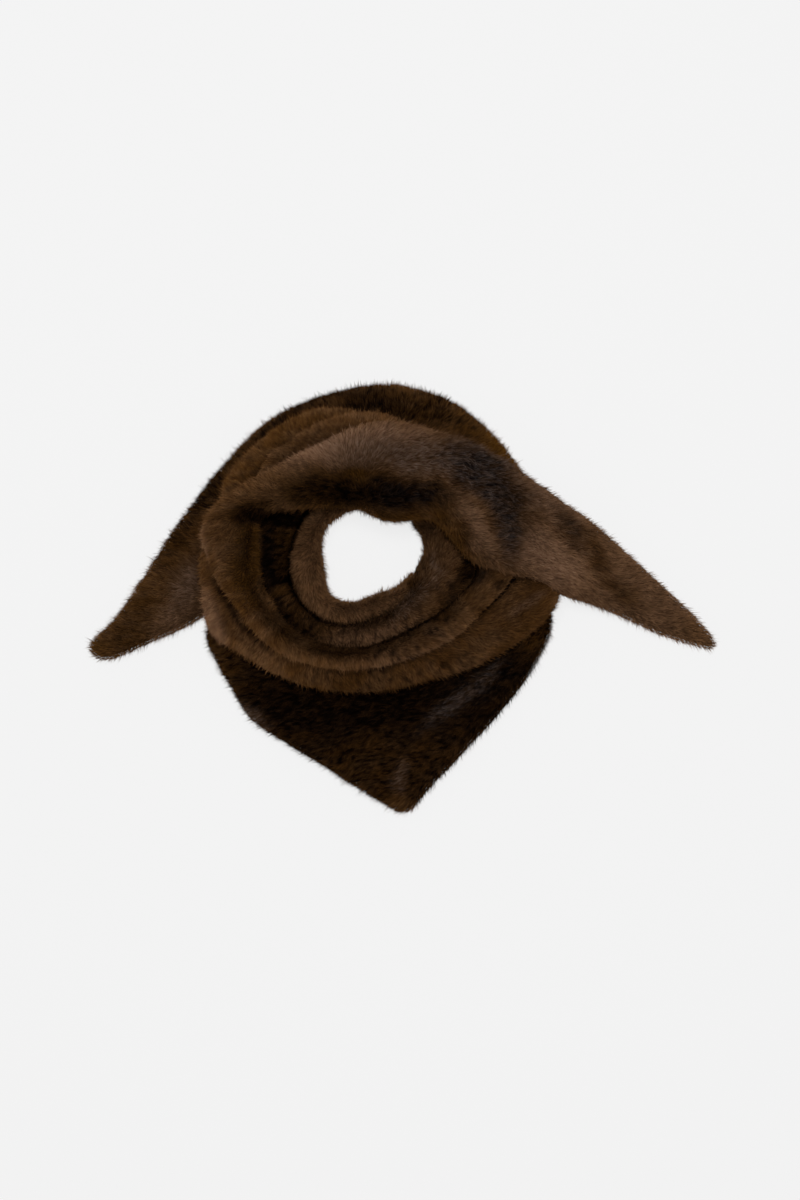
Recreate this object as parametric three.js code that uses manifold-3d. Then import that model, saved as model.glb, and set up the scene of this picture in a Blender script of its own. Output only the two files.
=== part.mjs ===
// A triangular faux-fur scarf, wound once round and laid flat with its fur side up. Millimetres, +Z up.
// The scarf lies on a table: +Y runs from the front point to the back of the neck, +X to the right end.
// Each stretch of the winding that shows is its own solid, as thick as the doubled cloth with its pile.
import * as THREE from "three";
import { mergeVertices } from "three/addons/utils/BufferGeometryUtils.js";
import Module from "manifold-3d";

const wasm = await Module();
wasm.setup();

// Driving dimensions
const NECK = { x: -26, y: 36 }; // middle of the neck opening
const SEAM = 0.3; // clearance between two stretches that touch
const LAYER = 18; // one doubled layer of cloth, from pile tip to pile tip
const CREASE_DEPTH = 5; // how deep the soft creases press into a layer

// Fineness of the solids
const CURVE_STEPS = 4; // segments in each rounded shoulder of a section
const FOOT_STEPS = 2; // segments across the flat underside of a section
const MERGE = 0.0001; // points this near each other are one point
const GIRTH = 0.42; // the height at which a fold is widest, as a share of its thickness
const FOOT_INSET = 3; // how far the underside draws in from the widest line
const ROUNDED_SHARE = 0.96; // the most of a section's width that its two shoulders may take
const RIDGE_START = 0.15; // a ridge begins and ends this share of a half wave from flat

// The folds round the neck, from the opening outwards. A row is a section of the fold: its angle about the
// neck counted from +X, the distances of its inner and outer edges, its underside and top, and the widths
// of its inner and outer shoulders.
const NECK_ROLL = [
  { angle: 100, inner: 41, outer: 66, base: 0, top: 25, innerRound: 13, outerRound: 10 },
  { angle: 120, inner: 42, outer: 64, base: 0, top: 30, innerRound: 12, outerRound: 9 },
  { angle: 150, inner: 46, outer: 64, base: 0, top: 35, innerRound: 11, outerRound: 7 },
  { angle: 175, inner: 43, outer: 67, base: 0, top: 37, innerRound: 15, outerRound: 8 },
  { angle: 200, inner: 42, outer: 71, base: 0, top: 37, innerRound: 18, outerRound: 9 },
  { angle: 220, inner: 48, outer: 71, base: 0, top: 35, innerRound: 13, outerRound: 8 },
  { angle: 240, inner: 46, outer: 68, base: 0, top: 32, innerRound: 12, outerRound: 9 },
  { angle: 260, inner: 38, outer: 62, base: 0, top: 30, innerRound: 12, outerRound: 11 },
  { angle: 280, inner: 32, outer: 56, base: 0, top: 29, innerRound: 12, outerRound: 11 },
  { angle: 300, inner: 34, outer: 53, base: 0, top: 28, innerRound: 10, outerRound: 8 },
  { angle: 320, inner: 35, outer: 50, base: 0, top: 27, innerRound: 8, outerRound: 6 },
  { angle: 338, inner: 37, outer: 46, base: 0, top: 22, innerRound: 5, outerRound: 4 },
];
const INNER_FOLD = [
  { angle: 122, inner: 62, outer: 92, base: 0, top: 18, innerRound: 6, outerRound: 14 },
  { angle: 142, inner: 62, outer: 104, base: 0, top: 22, innerRound: 8, outerRound: 20 },
  { angle: 165, inner: 62, outer: 104, base: 0, top: 24, innerRound: 8, outerRound: 24 },
  { angle: 190, inner: 67, outer: 103, base: 0, top: 25, innerRound: 8, outerRound: 20 },
  { angle: 215, inner: 67, outer: 99, base: 0, top: 28, innerRound: 9, outerRound: 16 },
  { angle: 240, inner: 64, outer: 93, base: 0, top: 33, innerRound: 9, outerRound: 12 },
  { angle: 265, inner: 55, outer: 84, base: 0, top: 38, innerRound: 9, outerRound: 13 },
  { angle: 290, inner: 47, outer: 77, base: 0, top: 41, innerRound: 10, outerRound: 14 },
  { angle: 310, inner: 44, outer: 79, base: 0, top: 42, innerRound: 12, outerRound: 15 },
  { angle: 328, inner: 40, outer: 84, base: 0, top: 41, innerRound: 16, outerRound: 17 },
  { angle: 345, inner: 39, outer: 92, base: 0, top: 40, innerRound: 20, outerRound: 20 },
  { angle: 362, inner: 44, outer: 94, base: 0, top: 38, innerRound: 20, outerRound: 24 },
  { angle: 380, inner: 45, outer: 90, base: 0, top: 34, innerRound: 18, outerRound: 22 },
  { angle: 394, inner: 44, outer: 82, base: 0, top: 30, innerRound: 14, outerRound: 18 },
  { angle: 407, inner: 46, outer: 74, base: 0, top: 25, innerRound: 10, outerRound: 14 },
];
const MIDDLE_FOLD = [
  { angle: 163, inner: 98, outer: 130, base: 0, top: 36, innerRound: 12, outerRound: 12 },
  { angle: 171, inner: 96, outer: 141, base: 0, top: 45, innerRound: 16, outerRound: 16 },
  { angle: 180, inner: 95, outer: 140, base: 0, top: 51, innerRound: 20, outerRound: 16 },
  { angle: 190, inner: 95, outer: 132, base: 0, top: 54, innerRound: 20, outerRound: 12 },
  { angle: 205, inner: 93, outer: 121, base: 0, top: 54, innerRound: 16, outerRound: 10 },
  { angle: 225, inner: 89, outer: 114, base: 0, top: 53, innerRound: 14, outerRound: 9 },
  { angle: 245, inner: 82, outer: 104, base: 0, top: 52, innerRound: 11, outerRound: 9 },
  { angle: 265, inner: 74, outer: 98, base: 0, top: 51, innerRound: 12, outerRound: 9 },
  { angle: 285, inner: 68, outer: 95, base: 0, top: 50, innerRound: 13, outerRound: 10 },
  { angle: 305, inner: 66, outer: 98, base: 0, top: 50, innerRound: 14, outerRound: 11 },
  { angle: 322, inner: 71, outer: 106, base: 0, top: 49, innerRound: 14, outerRound: 14 },
  { angle: 338, inner: 76, outer: 119, base: 0, top: 47, innerRound: 16, outerRound: 20 },
  { angle: 352, inner: 84, outer: 133, base: 0, top: 43, innerRound: 18, outerRound: 24 },
  { angle: 366, inner: 86, outer: 128, base: 0, top: 37, innerRound: 18, outerRound: 20 },
];
const OUTER_FOLD = [
  { angle: 171, inner: 118, outer: 139, base: 0, top: 30, innerRound: 9, outerRound: 9 },
  { angle: 180, inner: 119, outer: 144, base: 0, top: 36, innerRound: 8, outerRound: 10 },
  { angle: 191, inner: 112, outer: 145, base: 0, top: 38, innerRound: 10, outerRound: 11 },
  { angle: 201, inner: 106, outer: 149, base: 0, top: 39, innerRound: 10, outerRound: 13 },
  { angle: 208, inner: 103, outer: 148, base: 0, top: 39, innerRound: 10, outerRound: 12 },
  { angle: 217, inner: 101, outer: 136, base: 0, top: 39, innerRound: 8, outerRound: 10 },
  { angle: 232, inner: 96, outer: 127, base: 0, top: 38, innerRound: 8, outerRound: 10 },
  { angle: 250, inner: 88, outer: 119, base: 0, top: 38, innerRound: 8, outerRound: 10 },
  { angle: 270, inner: 83, outer: 114, base: 0, top: 38, innerRound: 8, outerRound: 10 },
  { angle: 290, inner: 80, outer: 115, base: 0, top: 38, innerRound: 8, outerRound: 10 },
  { angle: 308, inner: 83, outer: 124, base: 0, top: 39, innerRound: 8, outerRound: 10 },
  { angle: 322, inner: 90, outer: 135, base: 0, top: 41, innerRound: 8, outerRound: 11 },
  { angle: 334, inner: 99, outer: 149, base: 0, top: 43, innerRound: 8, outerRound: 13 },
  { angle: 344, inner: 109, outer: 161, base: 0, top: 43, innerRound: 8, outerRound: 17 },
  { angle: 354, inner: 118, outer: 160, base: 0, top: 40, innerRound: 8, outerRound: 20 },
  { angle: 364, inner: 116, outer: 152, base: 0, top: 34, innerRound: 8, outerRound: 18 },
];

// The stretches that run out flat. A row is a section from the edge nearest the neck to the far edge.
const LEFT_END = [
  { nearX: 66, nearY: 66, farX: 102, farY: 106, base: 0, top: 24, nearRound: 12, farRound: 14 },
  { nearX: 48, nearY: 72, farX: 83, farY: 131, base: 0, top: 29, nearRound: 12, farRound: 18 },
  { nearX: 26, nearY: 70, farX: 49, farY: 162, base: 0, top: 33, nearRound: 12, farRound: 22 },
  { nearX: 4, nearY: 67, farX: 15, farY: 175, base: 0, top: 35, nearRound: 12, farRound: 22 },
  { nearX: -16, nearY: 69, farX: -14, farY: 180, base: 0, top: 36, nearRound: 12, farRound: 22 },
  { nearX: -42, nearY: 86, farX: -52, farY: 175, base: 0, top: 34, nearRound: 12, farRound: 20 },
  { nearX: -68, nearY: 92, farX: -95, farY: 160, base: 0, top: 30, nearRound: 12, farRound: 16 },
  { nearX: -92, nearY: 84, farX: -124, farY: 141, base: 0, top: 25, nearRound: 12, farRound: 13 },
  { nearX: -110, nearY: 68, farX: -148, farY: 116, base: 0, top: 21, nearRound: 12, farRound: 12 },
  { nearX: -120, nearY: 46, farX: -168, farY: 92, base: 0, top: 19, nearRound: 10, farRound: 12 },
  { nearX: -132, nearY: 10, farX: -199, farY: 50, base: 0, top: 18, nearRound: 10, farRound: 12 },
  { nearX: -160, nearY: -14, farX: -221, farY: 16, base: 0, top: 18, nearRound: 12, farRound: 12 },
  { nearX: -203, nearY: -33, farX: -240, farY: -13, base: 0, top: 17, nearRound: 12, farRound: 11 },
  { nearX: -229, nearY: -46, farX: -254, farY: -27, base: 0, top: 16, nearRound: 11, farRound: 10 },
  { nearX: -248, nearY: -53, farX: -264, farY: -37, base: 0, top: 13, nearRound: 9, farRound: 8 },
  { nearX: -257, nearY: -53, farX: -267, farY: -44, base: 0, top: 9, nearRound: 5, farRound: 5 },
];
const BACK_FOLD_OUTER = [
  { nearX: -126, nearY: 64, farX: -152, farY: 72, base: 10, top: 36, nearRound: 8, farRound: 9 },
  { nearX: -120, nearY: 80, farX: -150, farY: 92, base: 10, top: 39, nearRound: 10, farRound: 9 },
  { nearX: -110, nearY: 95, farX: -139, farY: 110, base: 10, top: 40, nearRound: 12, farRound: 9 },
  { nearX: -96, nearY: 108, farX: -120, farY: 132, base: 12, top: 41, nearRound: 12, farRound: 9 },
  { nearX: -78, nearY: 118, farX: -95, farY: 150, base: 14, top: 42, nearRound: 12, farRound: 9 },
  { nearX: -58, nearY: 126, farX: -68, farY: 160, base: 16, top: 42, nearRound: 12, farRound: 11 },
  { nearX: -38, nearY: 130, farX: -44, farY: 163, base: 18, top: 40, nearRound: 12, farRound: 15 },
  { nearX: -18, nearY: 132, farX: -20, farY: 162, base: 18, top: 37, nearRound: 12, farRound: 18 },
  { nearX: 2, nearY: 132, farX: 4, farY: 157, base: 18, top: 33, nearRound: 12, farRound: 14 },
];
const BACK_FOLD_INNER = [
  { nearX: -112, nearY: 86, farX: -124, farY: 108, base: 20, top: 42, nearRound: 8, farRound: 10 },
  { nearX: -98, nearY: 98, farX: -110, farY: 128, base: 20, top: 46, nearRound: 12, farRound: 10 },
  { nearX: -78, nearY: 108, farX: -88, farY: 142, base: 22, top: 48, nearRound: 14, farRound: 9 },
  { nearX: -56, nearY: 114, farX: -62, farY: 152, base: 22, top: 49, nearRound: 16, farRound: 9 },
  { nearX: -34, nearY: 118, farX: -38, farY: 156, base: 24, top: 49, nearRound: 16, farRound: 10 },
  { nearX: -12, nearY: 118, farX: -14, farY: 155, base: 24, top: 46, nearRound: 16, farRound: 12 },
  { nearX: 8, nearY: 116, farX: 9, farY: 148, base: 24, top: 40, nearRound: 14, farRound: 12 },
];
const RIGHT_END = [
  { nearX: -134, nearY: 60, farX: -168, farY: 47, base: 18, top: 50, nearRound: 12, farRound: 17 },
  { nearX: -131, nearY: 70, farX: -164, farY: 69, base: 20, top: 53, nearRound: 12, farRound: 17 },
  { nearX: -117, nearY: 73, farX: -148, farY: 86, base: 22, top: 56, nearRound: 14, farRound: 15 },
  { nearX: -98, nearY: 74, farX: -127, farY: 99, base: 24, top: 58, nearRound: 18, farRound: 14 },
  { nearX: -77, nearY: 75, farX: -97, farY: 117, base: 25, top: 60, nearRound: 24, farRound: 14 },
  { nearX: -56, nearY: 76, farX: -65, farY: 133, base: 25, top: 62, nearRound: 32, farRound: 16 },
  { nearX: -35, nearY: 74, farX: -38, farY: 146, base: 25, top: 64, nearRound: 42, farRound: 18 },
  { nearX: -14, nearY: 63, farX: -14, farY: 149, base: 25, top: 64, nearRound: 50, farRound: 18 },
  { nearX: 7, nearY: 64, farX: 15, farY: 144, base: 25, top: 63, nearRound: 44, farRound: 18 },
  { nearX: 22, nearY: 67, farX: 44, farY: 136, base: 24, top: 61, nearRound: 34, farRound: 16 },
  { nearX: 33, nearY: 60, farX: 69, farY: 125, base: 23, top: 60, nearRound: 28, farRound: 14 },
  { nearX: 44, nearY: 45, farX: 90, farY: 113, base: 22, top: 59, nearRound: 24, farRound: 14 },
  { nearX: 59, nearY: 30, farX: 107, farY: 101, base: 20, top: 58, nearRound: 20, farRound: 14 },
  { nearX: 82, nearY: 19, farX: 125, farY: 88, base: 18, top: 56, nearRound: 16, farRound: 14 },
  { nearX: 108, nearY: 12, farX: 146, farY: 73, base: 14, top: 52, nearRound: 14, farRound: 14 },
  { nearX: 135, nearY: 2, farX: 167, farY: 57, base: 6, top: 42, nearRound: 13, farRound: 13 },
  { nearX: 161, nearY: -6, farX: 189, farY: 39, base: 0, top: 28, nearRound: 12, farRound: 12 },
  { nearX: 189, nearY: -18, farX: 210, farY: 21, base: 0, top: 20, nearRound: 12, farRound: 12 },
  { nearX: 214, nearY: -30, farX: 231, farY: 3, base: 0, top: 17, nearRound: 11, farRound: 11 },
  { nearX: 240, nearY: -39, farX: 250, farY: -16, base: 0, top: 15, nearRound: 10, farRound: 10 },
  { nearX: 257, nearY: -44, farX: 263, farY: -31, base: 0, top: 12, nearRound: 6, farRound: 6 },
  { nearX: 264, nearY: -45, farX: 267, farY: -39, base: 0, top: 8, nearRound: 3, farRound: 3 },
];

// The front point, from under the folds down to its tip. A row is a section straight across.
const FRONT_POINT = [
  { y: -8, left: -154, right: 122, base: 0, top: 14, sideRound: 12 },
  { y: -16, left: -162, right: 129, base: 0, top: 17, sideRound: 13 },
  { y: -34, left: -166, right: 125, base: 0, top: LAYER, sideRound: 14 },
  { y: -52, left: -158, right: 116, base: 0, top: LAYER, sideRound: 14 },
  { y: -69, left: -149, right: 105, base: 0, top: LAYER, sideRound: 14 },
  { y: -86, left: -138, right: 92, base: 0, top: LAYER, sideRound: 14 },
  { y: -103, left: -126, right: 78, base: 0, top: LAYER, sideRound: 14 },
  { y: -119, left: -103, right: 63, base: 0, top: LAYER, sideRound: 14 },
  { y: -136, left: -76, right: 47, base: 0, top: LAYER, sideRound: 14 },
  { y: -153, left: -49, right: 31, base: 0, top: 17, sideRound: 13 },
  { y: -167, left: -26, right: 19, base: 0, top: 16, sideRound: 12 },
  { y: -176, left: -12, right: 12, base: 0, top: 13, sideRound: 9 },
  { y: -181, left: -4, right: 7, base: 0, top: 8, sideRound: 4 },
];

// Soft ridges and troughs along the broad stretches: a line, its height (below zero for a trough) and width.
const RIDGES = {
  front_point: [
    { fromX: 84, fromY: -66, toX: 6, toY: -150, height: 4, width: 16 },
    { fromX: -20, fromY: -78, toX: 40, toY: -74, height: -3, width: 20 },
    { fromX: -120, fromY: -70, toX: -60, toY: -118, height: 2, width: 18 },
  ],
  left_end: [
    { fromX: -166, fromY: 40, toX: -206, toY: -16, height: 3, width: 14 },
    { fromX: -150, fromY: 60, toX: -186, toY: 0, height: -CREASE_DEPTH / 2, width: 10 },
  ],
  right_end: [
    { fromX: 42, fromY: 92, toX: 76, toY: 40, height: 4, width: 12 },
    { fromX: 66, fromY: 104, toX: 100, toY: 44, height: -3, width: 16 },
    { fromX: 120, fromY: 44, toX: 196, toY: 8, height: 3, width: 16 },
  ],
};

// One row between two of a table's rows, every column on a smooth curve through its neighbours, and no
// underside below the table.
function rowAt(rows, at) {
  const span = Math.min(Math.floor(at), rows.length - 2);
  const t = at - span;
  const pick = (i) => rows[Math.max(0, Math.min(rows.length - 1, i))];
  const [a, b, c, d] = [pick(span - 1), pick(span), pick(span + 1), pick(span + 2)];
  const row = {};
  for (const key of Object.keys(b)) {
    const slopeIn = (c[key] - a[key]) / 2;
    const slopeOut = (d[key] - b[key]) / 2;
    row[key] =
      b[key] * (2 * t ** 3 - 3 * t ** 2 + 1) +
      slopeIn * (t ** 3 - 2 * t ** 2 + t) +
      c[key] * (3 * t ** 2 - 2 * t ** 3) +
      slopeOut * (t ** 3 - t ** 2);
  }
  row.base = Math.max(0, row.base);
  return row;
}

// A fold's row about the neck, as a section from its inner to its outer edge.
function aboutNeck(row) {
  const angle = THREE.MathUtils.degToRad(row.angle);
  const along = new THREE.Vector2(Math.cos(angle), Math.sin(angle));
  const neck = new THREE.Vector2(NECK.x, NECK.y);
  return {
    near: neck.clone().addScaledVector(along, row.inner),
    far: neck.clone().addScaledVector(along, row.outer),
    base: row.base,
    top: row.top,
    nearRound: row.innerRound,
    farRound: row.outerRound,
  };
}

function acrossStretch(row) {
  return {
    near: new THREE.Vector2(row.nearX, row.nearY),
    far: new THREE.Vector2(row.farX, row.farY),
    base: row.base,
    top: row.top,
    nearRound: row.nearRound,
    farRound: row.farRound,
  };
}

function acrossPoint(row) {
  return {
    near: new THREE.Vector2(row.left, row.y),
    far: new THREE.Vector2(row.right, row.y),
    base: row.base,
    top: row.top,
    nearRound: row.sideRound,
    farRound: row.sideRound,
  };
}

// The closed outline of a section as [distance from the near edge, height], counterclockwise seen with the
// far edge on the right: along the flat underside, up the far side, over the top and down the near side.
function sectionOutline(section, topSteps) {
  const width = section.near.distanceTo(section.far);
  const waist = section.base + GIRTH * (section.top - section.base);
  const foot = Math.min(FOOT_INSET, width / 4);
  const share = Math.min(1, (ROUNDED_SHARE * width) / (section.nearRound + section.farRound));
  const near = section.nearRound * share;
  const far = section.farRound * share;
  const outline = [];
  for (let i = 0; i <= FOOT_STEPS; i++) {
    outline.push([foot + ((width - 2 * foot) * i) / FOOT_STEPS, section.base]);
  }
  for (let i = 0; i < CURVE_STEPS; i++) {
    const turn = (Math.PI / 2) * (i / CURVE_STEPS);
    outline.push([
      width - far * (1 - Math.cos(turn)),
      waist + (section.top - waist) * Math.sin(turn),
    ]);
  }
  for (let i = 0; i <= topSteps; i++) {
    outline.push([width - far - ((width - far - near) * i) / topSteps, section.top]);
  }
  for (let i = CURVE_STEPS - 1; i >= 0; i--) {
    const turn = (Math.PI / 2) * (i / CURVE_STEPS);
    outline.push([
      near * (1 - Math.cos(turn)),
      waist + (section.top - waist) * Math.sin(turn),
    ]);
  }
  return outline;
}

// How much the soft ridges lift the top at a point.
function lift(x, y, ridges) {
  let total = 0;
  for (const ridge of ridges) {
    const from = new THREE.Vector2(ridge.fromX, ridge.fromY);
    const line = new THREE.Vector2(ridge.toX, ridge.toY).sub(from);
    const point = new THREE.Vector2(x, y).sub(from);
    const along = THREE.MathUtils.clamp(point.dot(line) / line.lengthSq(), 0, 1);
    const off = point.distanceTo(line.multiplyScalar(along));
    const fade = Math.sin(Math.PI * (RIDGE_START + (1 - 2 * RIDGE_START) * along));
    total += ridge.height * fade * Math.exp(-((off / ridge.width) ** 2));
  }
  return total;
}

// A closed solid through the sections of a table, with flat ends.
function stretchSolid({ rows, toSection, topSteps, ridges = [] }, grow = 0) {
  const sections = [];
  for (let i = 0; i <= (rows.length - 1) * ROW_STEPS; i++) {
    sections.push(toSection(rowAt(rows, i / ROW_STEPS)));
  }
  if (grow > 0) growEnds(sections, grow);
  const points = [];
  for (const section of sections) {
    const across = section.far.clone().sub(section.near).normalize();
    const waist = section.base + GIRTH * (section.top - section.base);
    for (const [distance, height] of sectionOutline(section, topSteps)) {
      const width = section.near.distanceTo(section.far);
      const x = section.near.x + across.x * distance;
      const y = section.near.y + across.y * distance;
      const upper = Math.max(0, (height - waist) / (section.top - waist));
      const outwards = (2 * distance) / width - 1;
      points.push(
        new THREE.Vector3(
          x + across.x * grow * outwards,
          y + across.y * grow * outwards,
          height + upper * lift(x, y, ridges) + grow * (height > waist ? 1 : -1),
        ),
      );
    }
  }
  return solidThrough(points, sections.length);
}

// Moves the first and last sections of a stretch outwards along it.
function growEnds(sections, grow) {
  const pairs = [[0, 1], [sections.length - 1, sections.length - 2]];
  for (const [end, next] of pairs) {
    for (const edge of ["near", "far"]) {
      const outwards = sections[end][edge].clone().sub(sections[next][edge]).normalize();
      sections[end][edge] = sections[end][edge].clone().addScaledVector(outwards, grow);
    }
  }
}

// Joins equal rings of points into a closed manifold solid.
function solidThrough(points, rings) {
  const count = points.length / rings;
  const at = (ring, i) => ring * count + (i % count);
  const triangles = [];
  for (let ring = 0; ring < rings - 1; ring++) {
    for (let i = 0; i < count; i++) {
      triangles.push(at(ring, i), at(ring, i + 1), at(ring + 1, i + 1));
      triangles.push(at(ring, i), at(ring + 1, i + 1), at(ring + 1, i));
    }
  }
  for (const [ring, turned] of [[0, true], [rings - 1, false]]) {
    const middle = points.length;
    const centre = new THREE.Vector3();
    for (let i = 0; i < count; i++) {
      centre.addScaledVector(points[at(ring, i)], 1 / count);
    }
    points.push(centre);
    for (let i = 0; i < count; i++) {
      const [a, b] = turned ? [at(ring, i + 1), at(ring, i)] : [at(ring, i), at(ring, i + 1)];
      triangles.push(a, b, middle);
    }
  }
  const geometry = new THREE.BufferGeometry().setFromPoints(points);
  geometry.setIndex(triangles);
  const merged = mergeVertices(geometry, MERGE);
  const make = (order) =>
    new wasm.Manifold(
      new wasm.Mesh({
        numProp: 3,
        vertProperties: merged.attributes.position.array,
        triVerts: new Uint32Array(order),
      }),
    );
  const order = [...merged.index.array];
  const solid = make(order);
  if (solid.volume() > 0) return solid;
  for (let i = 0; i < order.length; i += 3) [order[i + 1], order[i + 2]] = [order[i + 2], order[i + 1]];
  return make(order);
}

// The largest body of a cut solid, without the slivers that a cut leaves.
function mainBody(solid) {
  const bodies = solid.decompose();
  return bodies.reduce((best, body) => (body.volume() > best.volume() ? body : best));
}

function meshOf(name, solid, colour) {
  const { vertProperties, triVerts, numProp } = solid.getMesh();
  const positions = new Float32Array((vertProperties.length / numProp) * 3);
  for (let i = 0; i < positions.length / 3; i++) {
    positions.set(vertProperties.subarray(i * numProp, i * numProp + 3), i * 3);
  }
  const geometry = new THREE.BufferGeometry();
  geometry.setAttribute("position", new THREE.BufferAttribute(positions, 3));
  geometry.setIndex(new THREE.BufferAttribute(new Uint32Array(triVerts), 1));
  geometry.computeVertexNormals();
  const material = new THREE.MeshStandardMaterial({ color: colour, roughness: ROUGHNESS, metalness: 0 });
  const mesh = new THREE.Mesh(geometry, material);
  mesh.name = name;
  return mesh;
}

// The stretches from the bottom of the heap to the top, each with the way its table's rows are read and the
// segments along the flat of its sections. Each is cut back where it lies on those before it.
const ROW_STEPS = 2; // sections for each row of a table
const ROUGHNESS = 0.9;
const BROWN = 0x4a3222;
const DARK = 0x1c120c;
const STRETCHES = [
  { name: "front_point", rows: FRONT_POINT, toSection: acrossPoint, topSteps: 8, colour: DARK },
  { name: "left_end", rows: LEFT_END, toSection: acrossStretch, topSteps: 4, colour: BROWN },
  { name: "neck_roll", rows: NECK_ROLL, toSection: aboutNeck, topSteps: 1, colour: BROWN },
  { name: "inner_fold", rows: INNER_FOLD, toSection: aboutNeck, topSteps: 1, colour: DARK },
  { name: "outer_fold", rows: OUTER_FOLD, toSection: aboutNeck, topSteps: 1, colour: BROWN },
  { name: "middle_fold", rows: MIDDLE_FOLD, toSection: aboutNeck, topSteps: 1, colour: BROWN },
  { name: "back_fold_outer", rows: BACK_FOLD_OUTER, toSection: acrossStretch, topSteps: 1, colour: BROWN },
  { name: "back_fold_inner", rows: BACK_FOLD_INNER, toSection: acrossStretch, topSteps: 1, colour: BROWN },
  { name: "right_end", rows: RIGHT_END, toSection: acrossStretch, topSteps: 5, colour: BROWN },
];

function windScarf() {
  const scarf = new THREE.Group();
  const below = [];
  for (const stretch of STRETCHES) {
    const form = { ...stretch, ridges: RIDGES[stretch.name] };
    let solid = stretchSolid(form);
    for (const cutter of below) solid = solid.subtract(cutter);
    scarf.add(meshOf(stretch.name, mainBody(solid), stretch.colour));
    below.push(stretchSolid(form, SEAM));
  }
  return scarf;
}

// Puts the origin under the middle of the scarf, on the table.
function onTable(scarf) {
  const box = new THREE.Box3().setFromObject(scarf);
  const middle = box.getCenter(new THREE.Vector3());
  scarf.position.set(-middle.x, -middle.y, -box.min.z);
  return scarf;
}

export default onTable(windScarf());
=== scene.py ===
# A triangular faux-fur scarf, wound once and laid flat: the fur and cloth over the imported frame.
# Metres, +Z up, +Y towards the back of the neck. Each stretch of the winding is a skin of cloth, a little
# inside its solid, and a dense pile of tapered hairs that reaches the solid's surface.
import math

import bpy
import bmesh
import numpy as np
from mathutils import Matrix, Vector
from mathutils.bvhtree import BVHTree


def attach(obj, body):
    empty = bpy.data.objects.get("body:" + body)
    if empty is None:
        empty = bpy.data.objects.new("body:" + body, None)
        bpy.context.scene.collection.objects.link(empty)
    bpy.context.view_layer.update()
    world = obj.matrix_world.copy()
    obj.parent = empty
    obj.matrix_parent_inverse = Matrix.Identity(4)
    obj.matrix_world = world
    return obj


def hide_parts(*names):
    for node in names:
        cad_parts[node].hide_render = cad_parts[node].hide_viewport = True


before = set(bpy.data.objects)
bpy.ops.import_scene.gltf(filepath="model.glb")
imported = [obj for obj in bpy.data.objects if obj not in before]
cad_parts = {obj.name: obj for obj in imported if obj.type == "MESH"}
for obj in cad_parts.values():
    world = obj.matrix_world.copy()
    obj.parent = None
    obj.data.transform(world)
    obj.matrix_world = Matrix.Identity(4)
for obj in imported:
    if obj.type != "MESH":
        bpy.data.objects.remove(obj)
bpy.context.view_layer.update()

MM = 0.001
SEED = 20

# The winding, from above
NECK = np.array([-26, 36]) * MM  # middle of the neck opening
LAST_TURN_START = math.radians(212)  # from +X round the neck, where the middle fold runs on as the last turn
LAST_TURN_LAP = math.radians(4)
LEFT_WAY = np.array([-1.0, -0.10])  # the way the front point's pile is combed
ONWARD_WAY = np.array([1.0, -0.12])  # and the right end's

# The cloth under the pile
WELD = 0.002 * MM  # corners this near each other are one
VOXEL = 3.2 * MM
SMOOTHING = 5  # rounds of smoothing, which take the facets off the solids
PILE_DEPTH = 3.9 * MM  # how far the cloth lies inside the solid's surface
THIN_SHARE = 0.3  # of a thin place's thickness that the pile may take on each side
PRESSED = 0.8 * MM  # the pile's depth on the underside, where the scarf's weight presses it flat
FOOT = 12 * MM  # the height within which the cloth is pressed down towards the table
WALL_SHARE = 0.45  # how much less deep the pile is on upright sides, where it hangs close
TOUCH_PILE = 0.5 * MM  # the pile's depth where two stretches press on each other
TOUCH_SHARE = 0.45  # and how much of the room between them it takes
CLOSING = 8 * MM  # valleys narrower than twice this are filled where one cloth runs on from another
UNEVEN = 1.0 * MM  # the slow rise and fall of the cloth
UNEVEN_SIZE = 34 * MM
JUST_INSIDE = 0.1 * MM  # where a ray starts that looks through the cloth
JUST_OUTSIDE = 1.2 * MM  # and one that looks away from it
PROBE = 80 * MM  # as far as a place's thickness is looked for
THICK = 40 * MM  # and where it counts as thick
THICK_ROUNDS = 12
CLOTH_FLOOR = 0.5 * MM  # the lowest that cloth and hairs may lie
HAIR_FLOOR = 0.3 * MM

# The pile
HAIR_LENGTH = 6.4 * MM
HAIR_WIDTH = 0.36 * MM
BEND_SHARE = 0.3  # how far along a hair it bends and is widest
ROOT_SUNK = 3.0 * MM  # how far a hair starts below the cloth, so that it has its width where it leaves it
ROOT_LEAN = math.radians(20)  # from the cloth's normal, at the root
TIP_LEAN = math.radians(56)
WISP_SIZE = 9 * MM  # hairs this near each other lean alike
WISP_TURN = math.radians(30)
WISP_LEAN = 0.16  # how far whole wisps differ in lean, and in length
WISP_LENGTH = 0.10
WIDE_WISP = 3.2  # times the wisp's size, for the slower turn of the pile
WIDE_TURN = 0.8
HAIR_TURN = math.radians(14)
HAIR_SPREAD = 0.16  # how far single hairs differ in lean and length
WIDTH_SPREAD = 0.25
SHORT_SHARE = 0.35  # of its length that a hair keeps where the pile has no depth
SHUT_SHORTER = 0.35  # how much shorter it is in a crevice
TWISTS = (0.5, 0.9)  # how far hairs twist on level cloth, and how much more on upright sides
TUFT_SIZE = 2.3 * MM  # tips this near each other draw together
TUFT_PULL = 0.42
TUFT_SHADE = 0.45  # how much of a hair's own lightness it shares with its tuft
GUARD_SHARE = 0.13  # the longer, straighter hairs that stand out at the edges
GUARD_ON_TOP = 0.2  # how many of them grow on level cloth, against upright sides
GUARD_LENGTH = 1.55
GUARD_WIDTH = 1.3
GUARD_LEAN = 0.7

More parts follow.
